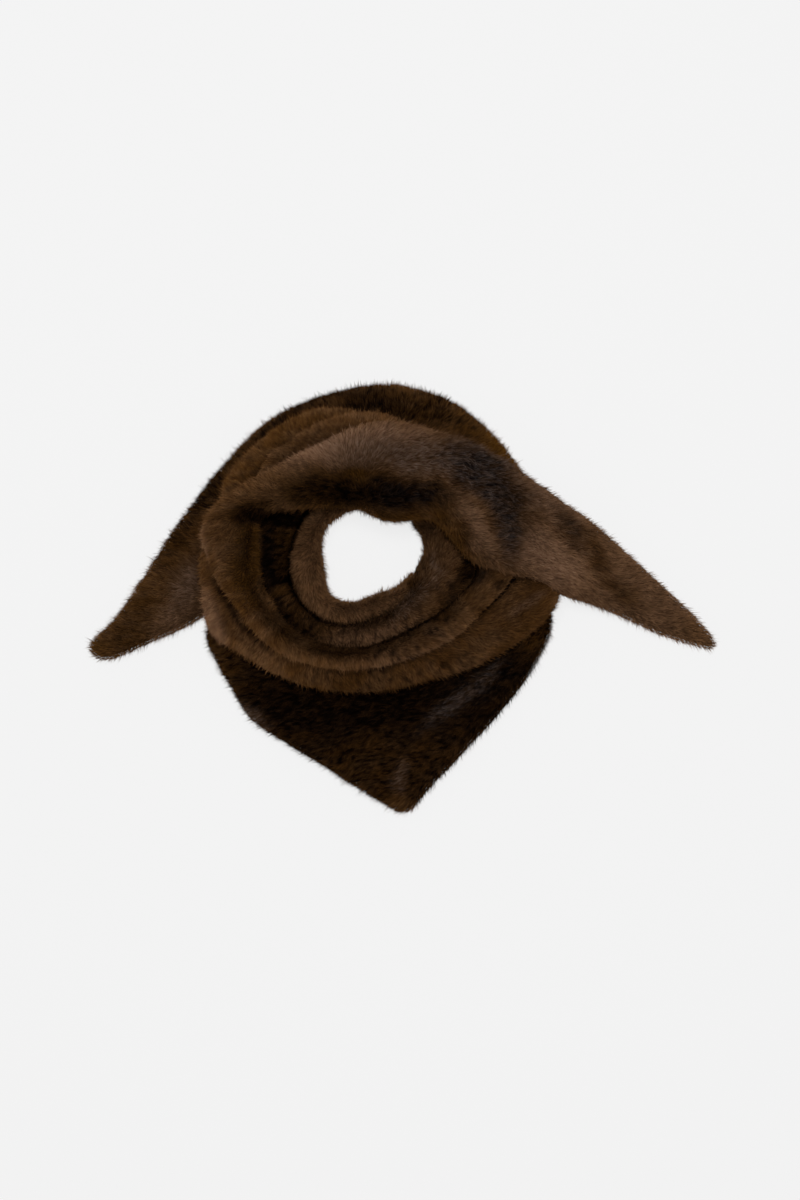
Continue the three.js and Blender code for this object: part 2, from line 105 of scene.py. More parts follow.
# Painted shade and light, and the pile's cover
NEAR_REACH = 10 * MM  # a crevice is where the pile is shut in within this distance
NEAR_RAYS = 16
FAR_REACH = 50 * MM
FAR_RAYS = 12
FAR_SHARE = 0.38  # how much being shut in within the far reach counts
RAY_SPREAD = 0.9  # of the half sphere round a place that its rays cover
FULL_COVER = 3  # times how open a place is, which is 1 where the pile is at its densest
UNDER_COVER = 0.6  # how much thinner the pile is underneath, and how much denser on upright sides
SIDE_COVER = 0.8
# Painted shade darkens a fold's inner side next to the next fold and painted light lifts its outer rim;
# painted light also lifts the upright sides of the flat stretches.
RIM_LIGHT = 0.5  # how much a fold's inner side is shaded by the next fold, against its outer side
RIM_SHARE = 1.6
RIM_ROUNDS = 8
RIM_TURNS = {"neck_roll": -0.5, "inner_fold": 0.35, "middle_fold": 0.75}  # the roll has its shade outside
EDGE_LIGHT = 0.4  # how much lighter the upright sides of the flat stretches are

# The brindle's dashes
LEVEL_DASH = (7 * MM, 2.1 * MM)  # length and height of the dashes on the flat stretches
ROUND_DASH = (6.5 * MM, 5 * MM)  # the spots on the folds, out from the neck and round it
ROUND_RADIUS = 100 * MM

# The stretches: nodes, hairs on each, comb direction and the flat cut of what shows
STRETCHES = {
    "front_point": {"hairs": 84000, "comb": "left", "flat": (0.30, 0.18), "cut": 0.034},
    "left_end": {"hairs": 64000, "comb": "back", "flat": (0.09, 0.52), "cut": 0.033},
    "neck_roll": {"hairs": 30000, "comb": "round", "flat": (0.035, 0.26), "cut": 0.0072},
    "inner_fold": {"hairs": 42000, "comb": "round", "flat": (0.045, 0.36), "cut": 0.0135},
    "outer_fold": {"hairs": 44000, "comb": "round", "flat": (0.05, 0.42), "cut": 0.0168},
    "middle_fold": {"hairs": 50000, "comb": "round", "flat": (0.05, 0.40), "cut": 0.0148},
    "back_fold_outer": {"hairs": 16000, "comb": "back", "flat": (0.03, 0.19), "cut": 0.005},
    "back_fold_inner": {"hairs": 16000, "comb": "back", "flat": (0.03, 0.17), "cut": 0.0042},
    "right_end": {"hairs": 88000, "comb": "onward", "flat": (0.085, 0.52), "cut": 0.033},
}

RUN_ON = {"middle_fold", "right_end"}  # the one runs on into the other as the last turn

# Patches of the brindled fur, each over the ones before it: on which stretch, where (mm, from above), half
# length and half width (mm), the turn of the length from +X (degrees), and how near-black, speckled, frosted,
# amber and pale it is there. Frosting also stands for painted sheen, some near-black patches are painted
# shadow along creases and under the band's edge, and some pale ones are painted light on rims and ridges
PATCH_COLUMNS = ("stretch", "x", "y", "long", "wide", "turn", "dark", "speckle", "frost_sheen", "amber", "pale_and_lit")
PATCHES = [
    ("front_point", 0, -100, 400, 200, 0, 0.68, 1.00, 0.00, 0.1, 0.0),
    ("front_point", -40, -78, 140, 46, 0, 1.00, 0.40, 0.00, 0.0, 0.0),
    ("front_point", 72, -62, 50, 24, 35, 0.95, 0.50, 0.05, 0.0, 0.0),
    ("front_point", -20, -134, 60, 20, 0, 0.68, 1.00, 0.00, 0.3, 0.0),
    ("front_point", -146, -54, 34, 14, 105, 0.60, 1.00, 0.00, 0.4, 0.0),
    ("front_point", 120, -30, 20, 26, 60, 0.45, 1.00, 0.00, 0.5, 0.0),
    # Painted sheen along the panel's raised ridge.
    ("front_point", 49, -85, 34, 7, 38, 0.75, 0.20, 0.65, 0.0, 0.0),
    ("front_point", 76, -62, 14, 6, 60, 0.75, 0.20, 0.60, 0.0, 0.0),
    ("front_point", 1, -150, 14, 6, 80, 0.40, 0.30, 0.55, 0.0, 0.0),
    ("front_point", 4, -175, 24, 9, 0, 0.10, 0.50, 0.00, 0.2, 0.0),
    ("front_point", -122, -98, 16, 8, 135, 0.50, 0.50, 0.60, 0.0, 0.0),
    ("neck_roll", 0, 0, 400, 400, 0, 0.02, 0.18, 0.00, 0.2, 0.40),
    ("neck_roll", 11, 11, 9, 6, 20, 0.60, 0.30, 0.00, 0.3, 0.0),
    ("inner_fold", 0, 0, 400, 400, 0, 0.08, 0.55, 0.08, 0.1, 0.1),
    ("inner_fold", -102, 33, 42, 14, 90, 0.78, 1.00, 0.00, 0.6, 0.0),
    # Painted shadow with near-black fur: the strip along the higher fold's edge, and the place under the
    # band's edge.
    ("inner_fold", -112, 34, 40, 7, 90, 1.10, 0.00, 0.03, 0.0, 0.0),
    ("inner_fold", -96, 70, 34, 11, 0, 1.10, 0.00, 0.00, 0.0, 0.0),
    ("inner_fold", -84, -19, 34, 11, -41, 0.74, 0.75, 0.00, 0.4, 0.0),
    # Painted shadow along the crease under the higher fold.
    ("inner_fold", -101, -14, 26, 5, -56, 1.00, 0.10, 0.00, 0.0, 0.0),
    # Painted light, lifting this stretch of the fold out of its painted crevice shade.
    ("inner_fold", -24, -32, 52, 11, 5, 0.00, 0.60, 0.00, 0.1, 0.6),
    ("inner_fold", 25, 42, 20, 10, -65, 0.00, 0.20, 0.00, 0.4, 0.5),
    ("inner_fold", 50, 46, 24, 9, -60, 0.40, 0.60, 0.00, 0.7, 0.0),
    ("inner_fold", 9, -1, 29, 5, 43, 0.10, 0.30, 0.70, 0.0, 0.3),
    ("inner_fold", 29, 28, 9, 4, 100, 0.05, 0.20, 0.70, 0.0, 0.3),
    ("inner_fold", 45, 11, 20, 6, 50, 0.70, 0.60, 0.00, 0.0, 0.0),
    # Painted shade in the crease by the right end's edge.
    ("inner_fold", 55, 27, 16, 9, 60, 0.95, 0.00, 0.00, 0.0, 0.0),
    ("middle_fold", 5, -47, 58, 13, 12, 0.10, 0.85, 0.05, 0.0, 0.2),
    ("middle_fold", 16, -34, 7, 5, 0, 0.80, 0.00, 0.00, 0.0, 0.0),
    ("middle_fold", 19, -25, 24, 12, 35, 0.12, 0.85, 0.05, 0.0, 0.1),
    ("middle_fold", 29, -18, 9, 6, 30, 0.50, 0.70, 0.00, 0.0, 0.0),
    ("middle_fold", 64, 17, 11, 7, 40, 0.75, 0.00, 0.10, 0.0, 0.0),
    ("middle_fold", 79, 11, 6, 5, 0, 0.70, 0.00, 0.00, 0.0, 0.0),
    ("outer_fold", 20, -80, 130, 50, 0, 0.20, 0.50, 0.00, 0.0, 0.0),
    ("outer_fold", -32, -66, 54, 12, 0, 0.50, 0.70, 0.00, 0.2, 0.0),
    # Painted shadow along the crease under the middle fold's rim.
    ("outer_fold", -149, 2, 26, 4, 122, 0.85, 0.20, 0.00, 0.0, 0.0),
    ("outer_fold", -124, -30, 24, 4, 140, 0.85, 0.20, 0.00, 0.0, 0.0),
    # Painted light on the fold's outer rim.
    ("outer_fold", -158, -20, 36, 8, 105, 0.00, 0.05, 0.00, 0.0, 0.7),
    ("outer_fold", 36, -58, 26, 9, 20, 0.15, 0.60, 0.00, 0.0, 0.0),
    ("outer_fold", 101, -5, 18, 4, 35, 0.00, 0.00, 0.25, 0.0, 0.2),
    ("left_end", 0, 0, 400, 400, 0, 0.10, 0.35, 0.00, 0.2, 0.0),
    ("left_end", -190, -16, 26, 11, 40, 0.00, 0.15, 0.10, 0.2, 0.6),
    ("left_end", -181, 10, 28, 12, 60, 0.15, 0.10, 0.55, 0.0, 0.5),
    ("left_end", -160, -4, 30, 10, 60, 0.10, 0.20, 0.30, 0.0, 0.2),
    ("left_end", -225, -22, 22, 14, 45, 0.30, 0.55, 0.10, 0.4, 0.0),
    ("left_end", -252, -41, 14, 9, 0, 0.10, 0.20, 0.00, 0.8, 0.2),
    ("left_end", -192, 48, 28, 12, 60, 0.55, 0.80, 0.00, 0.4, 0.0),
    ("left_end", -163, 93, 42, 14, 50, 0.72, 1.00, 0.00, 0.2, 0.0),
    ("left_end", -105, 140, 48, 10, 40, 0.88, 0.80, 0.00, 0.1, 0.0),
    ("left_end", -55, 168, 42, 8, 10, 0.80, 0.90, 0.00, 0.0, 0.0),
    ("left_end", 2, 158, 62, 17, -3, 0.62, 1.00, 0.00, 0.3, 0.0),
    ("left_end", -28, 162, 22, 9, 0, 0.85, 0.80, 0.00, 0.0, 0.0),
    ("left_end", 55, 150, 20, 14, -40, 0.35, 0.95, 0.00, 0.5, 0.0),
    ("left_end", 86, 126, 30, 11, -52, 0.00, 0.15, 0.00, 1.0, 0.0),
    ("back_fold_outer", 0, 0, 400, 400, 0, 0.24, 0.45, 0.00, 0.2, 0.0),
    ("back_fold_inner", 0, 0, 400, 400, 0, 0.15, 0.40, 0.00, 0.1, 0.1),
    ("right_end", 190, -10, 100, 60, -30, 0.06, 0.30, 0.08, 0.2, 0.7),
    ("right_end", -110, 80, 60, 26, 40, 0.03, 0.15, 0.00, 0.3, 0.3),
    ("right_end", -131, 33, 36, 11, 90, 0.36, 0.10, 0.00, 0.8, 0.0),
    # Painted light on the outer rim.
    ("right_end", -166, 38, 34, 6, 90, 0.00, 0.05, 0.00, 0.0, 0.6),
    # Painted shadow with near-black fur under the band's edge and along the crease beside it.
    ("right_end", -121, 72, 24, 8, 0, 1.00, 0.40, 0.00, 0.2, 0.0),
    ("right_end", -117, 36, 38, 5, 90, 1.00, 0.20, 0.00, 0.0, 0.0),
    # Paler fur and painted light on the band's lit top.
    ("right_end", -45, 126, 60, 15, 8, 0.00, 0.10, 0.10, 0.0, 1.3),
    ("right_end", 16, 117, 74, 14, -6, 0.35, 0.00, 0.80, 0.0, 0.4),
    # Near-black fur, deepened with painted shade where the band turns down towards the opening.
    ("right_end", -56, 91, 44, 15, 2, 0.92, 0.90, 0.00, 0.5, 0.0),
    ("right_end", 4, 87, 42, 14, -3, 1.05, 0.30, 0.10, 0.0, 0.0),
    ("right_end", -38, 101, 7, 9, 0, 0.35, 0.50, 0.00, 0.8, 0.0),
    ("right_end", -4, 70, 24, 5, 0, 0.35, 0.40, 0.00, 0.5, 0.0),
    ("right_end", 39, 52, 36, 10, -65, 0.40, 0.50, 0.00, 0.7, 0.0),
    # Painted light along the band's ridge.
    ("right_end", 61, 60, 32, 7, -62, 0.00, 0.10, 0.10, 0.1, 0.9),
    ("right_end", 118, 36, 32, 18, -40, 0.00, 0.05, 0.15, 0.0, 1.2),
    ("right_end", 124, 78, 40, 14, -38, 0.22, 0.50, 0.25, 0.0, 0.6),
    ("right_end", 95, 121, 42, 8, -38, 0.75, 0.60, 0.10, 0.0, 0.0),
    ("right_end", 138, 58, 22, 8, -66, 0.60, 0.40, 0.20, 0.0, 0.0),
    ("right_end", 68, 102, 44, 20, -40, 0.86, 0.00, 0.55, 0.0, 0.0),
    # Near-black and frosted fur, partly painted shade in the trough beside the band's ridge.
    ("right_end", 84, 66, 40, 14, -76, 0.80, 0.10, 0.50, 0.0, 0.0),
    ("right_end", 160, 38, 24, 9, -62, 0.52, 0.50, 0.00, 0.1, 0.1),
    ("right_end", 180, 8, 24, 8, -30, 0.45, 0.50, 0.00, 0.1, 0.1),
    ("right_end", 246, -28, 20, 14, -30, 0.00, 0.10, 0.00, 0.5, 0.8),
]

PATCH_DRIFT = (14 * MM, np.array([5, 3, 0]) * MM)  # the size and reach of the waves in the patches' edges

# Soft creases in the cloth: on which stretch, where (mm, from above), half length and half width (mm), the
# turn of the length from +X (degrees), and the rise (mm), which is below 0 in a trough
CREASE_COLUMNS = ("stretch", "x", "y", "long", "wide", "turn", "rise")
CREASES = [
    ("front_point", 56, -88, 46, 13, 50, 1.6),
    ("front_point", 32, -104, 44, 11, 56, -1.4),
    ("front_point", 6, -150, 20, 9, 90, 1.2),
    ("front_point", -120, -92, 28, 9, 125, 1.2),
    ("front_point", -70, -104, 60, 12, -28, -1.2),
    ("left_end", -181, 10, 36, 10, 62, 2.0),
    ("left_end", -160, -2, 32, 8, 64, -1.6),
    ("left_end", -214, -18, 34, 8, 40, -1.3),
    ("left_end", -14, 150, 60, 7, -6, -1.6),
    ("left_end", 78, 122, 30, 7, -50, -1.2),
    ("right_end", 58, 60, 42, 15, -55, 2.6),
    ("right_end", 86, 76, 40, 10, -62, -2.6),
    ("right_end", 112, 58, 34, 10, -60, 1.6),
    ("right_end", 140, 62, 26, 8, -62, -1.8),
    ("right_end", 166, 16, 26, 7, -42, -2.2),
    ("right_end", 186, 4, 22, 8, -44, 1.3),
    ("right_end", -30, 118, 70, 10, 2, 1.3),
    ("right_end", -20, 100, 62, 8, -3, -1.6),
    ("middle_fold", 64, 17, 16, 4, 40, -1.2),
    ("middle_fold", -118, -8, 22, 4, 118, -1.3),
    ("middle_fold", -30, -56, 26, 4, -8, -1.2),
    ("outer_fold", 30, -66, 34, 4, 14, -1.3),
    ("outer_fold", -110, -50, 30, 4, -48, -1.2),
    ("inner_fold", -84, -19, 22, 4, -45, -1.2),
    ("inner_fold", 29, 28, 10, 3, 100, -1.6),
    ("inner_fold", 45, 11, 20, 6, 50, 1.5),
]


def tidy_numbers(values):
    return np.ascontiguousarray(values, dtype=np.float32).ravel()


# Smooth random fields, the same on every run


HASH_CELL = (374761393, 668265263, 2147483647)  # large odd numbers that scatter the cells
HASH_SEED = 144665
HASH_MIX = 1274126177
HASH_TOP = 0xFFFFFF


def lattice_value(cells, seed):
    """A steady random number from 0 to 1 for each whole-number cell."""
    mixed = seed * HASH_SEED + sum(cells[:, k] * HASH_CELL[k] for k in range(3))
    mixed = (mixed ^ (mixed >> 13)) * HASH_MIX
    mixed = mixed ^ (mixed >> 16)
    return (mixed & HASH_TOP) / float(HASH_TOP)


def drift(points, size, seed):
    """A smooth field from -1 to 1 over points, with features about size across."""
    scaled = np.asarray(points, float) / size + 1000.0
    low = np.floor(scaled).astype(np.int64)
    part = scaled - low
    part = part * part * (3 - 2 * part)
    total = np.zeros(len(scaled))
    for dx in (0, 1):
        for dy in (0, 1):
            for dz in (0, 1):
                weight = np.abs(1 - dx - part[:, 0]) * np.abs(1 - dy - part[:, 1])
                weight = weight * np.abs(1 - dz - part[:, 2])
                total += weight * lattice_value(low + np.array([dx, dy, dz]), seed)
    return total * 2 - 1


# The cloth skins


def from_neck(points):
    """The level way out from the middle of the neck opening, and the distance."""
    out = points[:, :2] - NECK
    distance = np.linalg.norm(out, axis=1)
    return out / distance[:, None], distance


def covered(name, points):
    """Which points lie where the last turn's cloth takes the middle fold's place."""
    away, _ = from_neck(points)
    turn = np.arctan2(away[:, 1], away[:, 0]) % (2 * math.pi)
    return (turn > math.pi / 2) & (turn < LAST_TURN_START - LAST_TURN_LAP) & (name == "middle_fold")


def joined_mesh(name, parts):
    """One mesh that holds several, each still closed by itself."""
    made = bmesh.new()
    for mesh in parts:
        made.from_mesh(mesh)
    result = bpy.data.meshes.new(name)
    made.to_mesh(result)
    made.free()
    return result


def last_of_middle_fold():
    """The part of the middle fold that runs on into the right end, cut off at the winding's left side."""
    made = bmesh.new()
    made.from_mesh(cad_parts["middle_fold"].data)
    bmesh.ops.remove_doubles(made, verts=made.verts[:], dist=WELD)
    across = Vector((-math.sin(LAST_TURN_START), math.cos(LAST_TURN_START), 0))
    for normal in (across, Vector((1, 0, 0))):
        bmesh.ops.bisect_plane(
            made,
            geom=made.verts[:] + made.edges[:] + made.faces[:],
            plane_co=(NECK[0], NECK[1], 0),
            plane_no=normal,
            clear_outer=True,
        )
    bmesh.ops.holes_fill(made, edges=[edge for edge in made.edges if edge.is_boundary])
    result = bpy.data.meshes.new("last_of_middle_fold")
    made.to_mesh(result)
    made.free()
    return result


def with_modifiers(piece):
    """The piece's mesh with its modifiers applied."""
    ready = piece.evaluated_get(bpy.context.evaluated_depsgraph_get())
    result = bpy.data.meshes.new_from_object(ready)
    piece.modifiers.clear()
    piece.data = result


def mesh_points(mesh):
    values = np.zeros(len(mesh.vertices) * 3, np.float32)
    mesh.vertices.foreach_get("co", values)
    return values.reshape(-1, 3).astype(float)


def mesh_normals(mesh):
    values = np.zeros(len(mesh.vertices) * 3, np.float32)
    mesh.vertices.foreach_get("normal", values)
    return values.reshape(-1, 3).astype(float)


def triangles_of(mesh):
    mesh.calc_loop_triangles()
    corners = np.zeros(len(mesh.loop_triangles) * 3, np.int32)
    mesh.loop_triangles.foreach_get("vertices", corners)
    return corners.reshape(-1, 3)


def tree_of(mesh):
    return BVHTree.FromPolygons(mesh_points(mesh).tolist(), triangles_of(mesh).tolist())


def tree_of_all(cloths):
    """Every cloth in one tree, without the stretch of the middle fold that the last turn's cloth covers."""
    points, triangles, count = [], [], 0
    for name, cloth in cloths.items():
        own = mesh_points(cloth.data)
        corners = triangles_of(cloth.data)
        triangles.append(corners[~covered(name, own)[corners[:, 0]]] + count)
        points.append(own)
        count += len(own)
    return BVHTree.FromPolygons(np.concatenate(points).tolist(), np.concatenate(triangles).tolist())


def averaged(mesh, values, rounds):
    """Values on a mesh's vertices, each blended with its neighbours' a few times."""
    edges = np.zeros(len(mesh.edges) * 2, np.int32)
    mesh.edges.foreach_get("vertices", edges)
    first, second = edges.reshape(-1, 2).T
    count = np.bincount(first, minlength=len(values)) + np.bincount(second, minlength=len(values))
    for _ in range(rounds):
        near = np.bincount(first, values[second], len(values))
        near += np.bincount(second, values[first], len(values))
        values = 0.5 * values + 0.5 * near / np.maximum(count, 1)
    return values


def in_ellipse(points, row):
    """How far points, seen from above, lie in a row's patch: 1 in its middle, about 0.37 at its edge."""
    turn = math.radians(row["turn"])
    off = points[:, :2] / MM - np.array([row["x"], row["y"]])
    along = off @ np.array([math.cos(turn), math.sin(turn)])
    across = off @ np.array([-math.sin(turn), math.cos(turn)])
    return np.exp(-(((along / row["long"]) ** 2 + (across / row["wide"]) ** 2) ** 1.5))


def crease_rise(name, points):
    """How far the creases raise or lower the cloth of one stretch."""
    rise = np.zeros(len(points))
    for values in CREASES:
        row = dict(zip(CREASE_COLUMNS, values))
        if row["stretch"] == name:
            rise += in_ellipse(points, row) * row["rise"] * MM
    return rise


def remeshed(piece):
    remesh = piece.modifiers.new("remesh", "REMESH")
    remesh.mode = "VOXEL"
    remesh.voxel_size = VOXEL


def smoothed(piece):
    smooth = piece.modifiers.new("smooth", "SMOOTH")
    smooth.factor = 0.5
    smooth.iterations = SMOOTHING


def swollen(piece, amount):
    displace = piece.modifiers.new("displace", "DISPLACE")
    displace.mid_level = 0
    displace.strength = amount


def smooth_solid(name):
    """One stretch's solid with its facets smoothed away."""
    parts = [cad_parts[name].data]
    if name == "right_end":
        parts.append(last_of_middle_fold())
    piece = bpy.data.objects.new("cloth_" + name, joined_mesh("cloth_" + name, parts))
    bpy.context.scene.collection.objects.link(piece)
    remeshed(piece)
    if len(parts) > 1:
        swollen(piece, CLOSING)
        remeshed(piece)
    smoothed(piece)
    if len(parts) > 1:
        swollen(piece, -CLOSING)
        smoothed(piece)
    with_modifiers(piece)
    return piece


def skin(name, piece, others):
    """Draws a smooth solid in by its pile's depth, less where it is thin or presses on another stretch."""
    mesh = piece.data
    points = mesh_points(mesh)
    normals = mesh_normals(mesh)
    tree = tree_of(mesh)
    thickness = np.full(len(points), 1.0)
    for i, (point, normal) in enumerate(zip(points, normals)):
        start = Vector(point - normal * JUST_INSIDE)
        hit = tree.ray_cast(start, Vector(-normal), PROBE)
        if hit[3] is not None:
            thickness[i] = hit[3]
    thickness = averaged(mesh, np.minimum(thickness, THICK), THICK_ROUNDS)
    depth = np.minimum(PILE_DEPTH, thickness * THIN_SHARE)
    room = np.full(len(points), PILE_DEPTH / TOUCH_SHARE)
    for i, point in enumerate(points):
        for other in others:
            hit = other.find_nearest(Vector(point), room[i])
            if hit[3] is not None:
                room[i] = hit[3]
    depth = np.minimum(depth, TOUCH_PILE + averaged(mesh, room, 1) * TOUCH_SHARE)
    depth *= 1 - WALL_SHARE * averaged(mesh, 1 - np.abs(normals[:, 2]), 2)
    low = np.clip(1 - points[:, 2] / FOOT, 0, 1)
    under = np.clip(-normals[:, 2] * 2, 0, 1) * (low > 0.5)
    points = points - normals * depth[:, None]
    rise = drift(points, UNEVEN_SIZE, SEED) * UNEVEN + crease_rise(name, points)
    points += normals * (rise * (1 - under))[:, None]
    points[:, 2] -= (depth - PRESSED) * low
    points[:, 2] = np.maximum(points[:, 2], CLOTH_FLOOR)
    mesh.vertices.foreach_set("co", tidy_numbers(points))
    mesh.update()
    for polygon in mesh.polygons:
        polygon.use_smooth = True
    return depth


# What of a skin can be seen


def openness(points, normals, tree, count, reach):
    """For each point, the share of directions around it that no skin blocks within reach."""
    rays = []
    golden = math.pi * (3 - math.sqrt(5))
    for i in range(count):
        height = 1 - (i + 0.5) / count * RAY_SPREAD
        level = math.sqrt(1 - height * height)
        rays.append(Vector((level * math.cos(golden * i), level * math.sin(golden * i), height)))
    found = np.zeros(len(points))
    for i, (point, normal) in enumerate(zip(points, normals)):
        way = Vector(normal)
        turn = Vector((0, 0, 1)).rotation_difference(way)
        start = Vector(point) + way * JUST_OUTSIDE
        blocked = [tree.ray_cast(start, turn @ ray, reach)[3] is not None for ray in rays]
        found[i] = 1 - sum(blocked) / count
    return found


# The pile


def comb_direction(points, comb):
    """The way the pile leans at each point, level, before it is laid along the cloth."""
    away, _ = from_neck(points)
    anticlockwise = np.stack([-away[:, 1], away[:, 0]], 1)
    if comb == "left":
        level = LEFT_WAY + away * 0.25
    elif comb == "back":
        level = np.stack([away[:, 0] * 1.2, away[:, 1] * 0.5 + 0.35], 1)
    elif comb == "onward":
        share = np.clip((points[:, 0] + 0.09) / 0.12, 0, 1)[:, None]
        level = (away * 0.9 + anticlockwise * 0.4) * (1 - share) + ONWARD_WAY * share
    else:
        level = away * 0.8 + anticlockwise * 0.6
    level /= np.maximum(np.linalg.norm(level, axis=1), 1e-6)[:, None]
    return np.concatenate([level, np.zeros((len(points), 1))], 1)


def brindle_place(points, comb):
    """Where points lie in the brindle, counted in its dashes: along them, across them, and up."""
    if comb == "round":
        away, distance = from_neck(points)
        turn = np.arctan2(away[:, 1], away[:, 0])
        long, wide = ROUND_DASH
        return np.stack([distance / long, turn * ROUND_RADIUS / wide, points[:, 2] / wide], 1)
    long, wide = LEVEL_DASH
    return np.stack([points[:, 0] / long, points[:, 1] / wide, points[:, 2] / wide], 1)


def zones(name, points):
    """Near-black (partly painted shadow), speckle, frosting (partly painted sheen) and amber of one stretch's
    fur at points, then its paleness (partly painted light), from 0 to 1.
    """
    found = np.zeros((len(points), 5))
    size, reach = PATCH_DRIFT
    moved = points + drift(points, size, SEED + 3)[:, None] * reach
    for values in PATCHES:
        row = dict(zip(PATCH_COLUMNS, values))
        if row["stretch"] != name:
            continue
        share = in_ellipse(moved, row)[:, None]
        want = np.array([row[look] for look in PATCH_COLUMNS[6:]])
        found = found * (1 - share) + want * share
    return found[:, :4], found[:, 4]


def set_attribute(mesh, name, kind, values):
    layer = mesh.attributes.new(name, kind, "POINT")
    key = "color" if kind == "FLOAT_COLOR" else "vector" if kind == "FLOAT_VECTOR" else "value"
    layer.data.foreach_set(key, tidy_numbers(values))


def tufted(root, tip):
    """Tips drawn towards the middle of their tuft, which leaves darker partings between tufts."""
    wander = np.stack([drift(root, TUFT_SIZE * 2, SEED + k) for k in (11, 12, 13)], 1) * TUFT_SIZE * 0.5
    cell = np.floor((root + wander) / TUFT_SIZE).astype(np.int64)
    _, tuft = np.unique(cell, axis=0, return_inverse=True)
    tuft = tuft.reshape(-1)
    size = np.bincount(tuft)
    middle = np.stack([np.bincount(tuft, root[:, k]) / size for k in range(3)], 1)
    shade = lattice_value(np.stack([tuft, tuft, tuft], 1), SEED)
    return tip + (middle[tuft] - root) * TUFT_PULL, shade


def rooted(cloth, weights, count, random):
    """Random places on a mesh, denser where weights are higher: triangles and shares of their corners."""
    corners = triangles_of(cloth.data)
    a, b, c = (mesh_points(cloth.data)[corners[:, i]] for i in range(3))
    area = np.linalg.norm(np.cross(b - a, c - a), axis=1) / 2
    weight = area * weights[corners].mean(1)
    picked = np.searchsorted(np.cumsum(weight) / weight.sum(), np.sort(random.random(count)))
    picked = np.minimum(picked, len(corners) - 1)
    first, second = random.random((2, count))
    over = first + second > 1
    first[over], second[over] = 1 - first[over], 1 - second[over]
    return corners[picked], np.stack([1 - first - second, first, second], 1)


